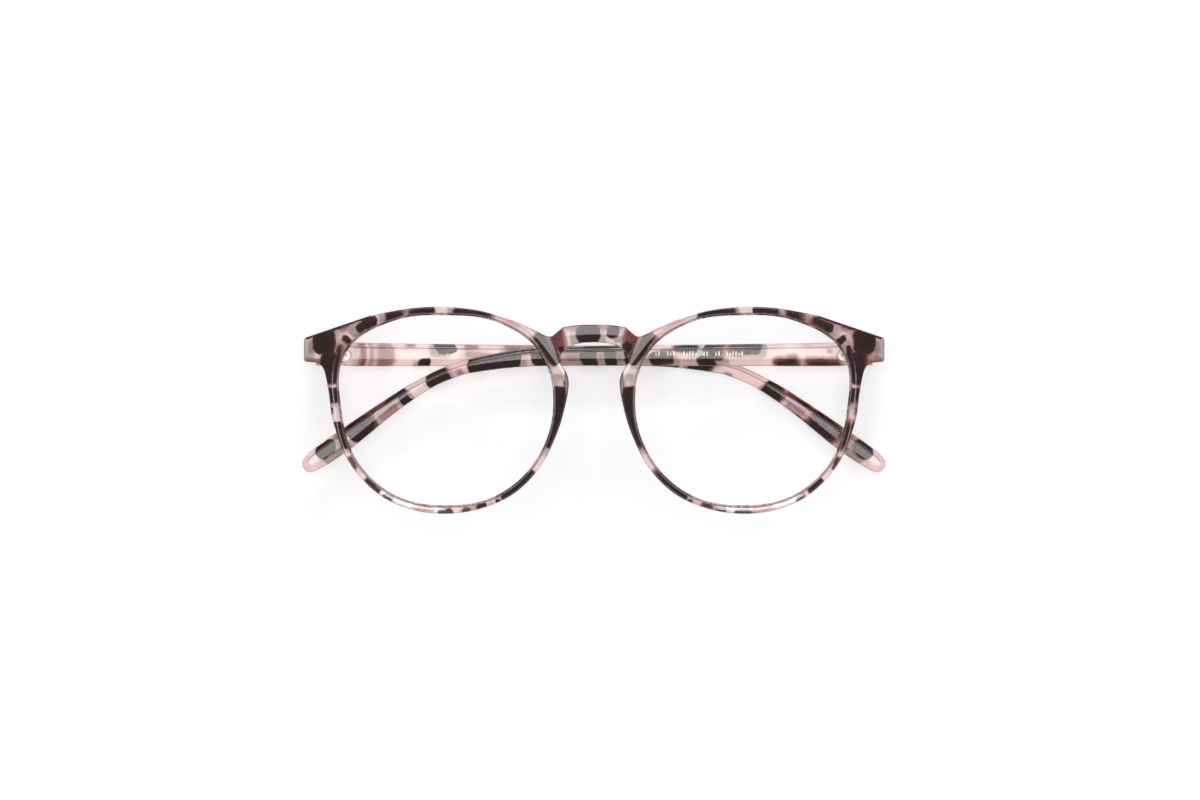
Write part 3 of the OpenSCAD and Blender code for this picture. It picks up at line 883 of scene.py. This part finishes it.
def print_marks():
    """Points and faces of the row of ticks, in a temple's own frame."""
    cut, low = TICK_CUT, TICK_LOW
    points, faces = [], []
    for i, left in enumerate(TICKS):
        right, high = left + TICK_WIDTH, TICK_HIGH - TICK_SHORTER * (i % 3 == 1)
        outline = [(left + cut, low), (right - cut, low), (right, low + cut), (right, high - cut),
                   (right - cut, high), (left + cut, high), (left, high - cut), (left, low + cut)]
        first, n = len(points), len(outline)
        for level in (TICK_ROOT, TICK_FACE):
            points += [(x, y, -BLADE_DROP + level) for x, y in outline]
        faces.append(tuple(first + n + k for k in range(n)))
        faces.append(tuple(first + n - 1 - k for k in range(n)))
        faces += [(first + k, first + (k + 1) % n, first + n + (k + 1) % n, first + n + k)
                  for k in range(n)]
    return np.array(points), [f[::-1] for f in faces]


points, faces = print_marks()
marks = add_mesh("left_temple_print", on_hinge(points, 1), faces, smooth=False)
marks.data.materials.append(print_ink())
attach(marks, "left_arm")

# The hinges' metal is the CAD's own.
for name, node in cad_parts.items():
    if "hinge" in name:
        metal = screw_metal if "screw" in name else leaf_metal
        node.data.materials.clear()
        node.data.materials.append(metal)
        for polygon in node.data.polygons:
            polygon.material_index = 0


# ---------------------------------------------------------------- floor, light and camera

FLOOR_SIZE = 6

# Each softbox: where it hangs from the middle, how far off, its size, and its power in watts.
# The overhead one gives the soft shadows, and the key one the highlights along the top edges.
OVERHEAD = (0, 0.185, 1), 1.0, (0.74, 0.48), 5.6
KEY = (0.06, 1.0, 0.6), 1.1, (0.6, 0.2), 5.3

# The room: what the camera sees of it, and what lights the object, which is dim overhead and
# paler towards the horizon.
SEEN_STRENGTH, AROUND_STRENGTH = 1.12, 1.0
HORIZON, OVERHEAD_ROOM = (0.12, (0.78, 0.785, 0.80, 1)), (0.45, (0.40, 0.405, 0.415, 1))

CAMERA_HEIGHT = 2.5
SEEN_WIDTH = 0.2788  # across the picture, at the height of the front
SENSOR = 36
CAMERA_X, CAMERA_Y = 0.00135, 0.0024

bpy.ops.mesh.primitive_plane_add(size=FLOOR_SIZE, location=(0, 0, 0))
floor = bpy.context.object
floor.name = "floor"
floor.data.materials.append(pale_floor())


def softbox(name, direction, reach, size, power):
    """A rectangular lamp that faces the object."""
    data = bpy.data.lights.new(name, "AREA")
    data.shape = "RECTANGLE"
    data.size, data.size_y = size
    data.energy = power
    lamp = bpy.data.objects.new(name, data)
    bpy.context.scene.collection.objects.link(lamp)
    away = Vector(direction).normalized()
    lamp.location = away * reach
    lamp.rotation_mode = "QUATERNION"
    lamp.rotation_quaternion = away.to_track_quat("Z", "Y")
    lamp.visible_camera = False


softbox("overhead_softbox", *OVERHEAD)
softbox("key_softbox", *KEY)

world = bpy.data.worlds.new("studio")
bpy.context.scene.world = world
world.use_nodes = True
tree = world.node_tree
tree.nodes.clear()
seen = tree.nodes.new("ShaderNodeBackground")
seen.inputs["Color"].default_value = (1, 1, 1, 1)
seen.inputs["Strength"].default_value = SEEN_STRENGTH
around = tree.nodes.new("ShaderNodeBackground")
around.inputs["Strength"].default_value = AROUND_STRENGTH
place = tree.nodes.new("ShaderNodeTexCoord")
parts = tree.nodes.new("ShaderNodeSeparateXYZ")
height = tree.nodes.new("ShaderNodeValToRGB")
for element, (at, colour) in zip(height.color_ramp.elements, (HORIZON, OVERHEAD_ROOM)):
    element.position, element.color = at, colour
tree.links.new(place.outputs["Generated"], parts.inputs[0])
tree.links.new(parts.outputs["Z"], height.inputs[0])
tree.links.new(height.outputs[0], around.inputs["Color"])
path = tree.nodes.new("ShaderNodeLightPath")
mix = tree.nodes.new("ShaderNodeMixShader")
out = tree.nodes.new("ShaderNodeOutputWorld")
tree.links.new(path.outputs["Is Camera Ray"], mix.inputs[0])
tree.links.new(around.outputs[0], mix.inputs[1])
tree.links.new(seen.outputs[0], mix.inputs[2])
tree.links.new(mix.outputs[0], out.inputs[0])

bpy.context.scene.view_settings.view_transform = "Standard"
bpy.context.scene.view_settings.look = "None"

camera_data = bpy.data.cameras.new("overhead_camera")
camera_data.sensor_width = SENSOR
camera_data.lens = SENSOR * (CAMERA_HEIGHT - FRONT_Z * MM) / SEEN_WIDTH
camera_data.clip_start, camera_data.clip_end = 0.1, 20
camera = bpy.data.objects.new("overhead_camera", camera_data)
camera.location = (CAMERA_X, CAMERA_Y, CAMERA_HEIGHT)
bpy.context.scene.collection.objects.link(camera)
bpy.context.scene.camera = camera
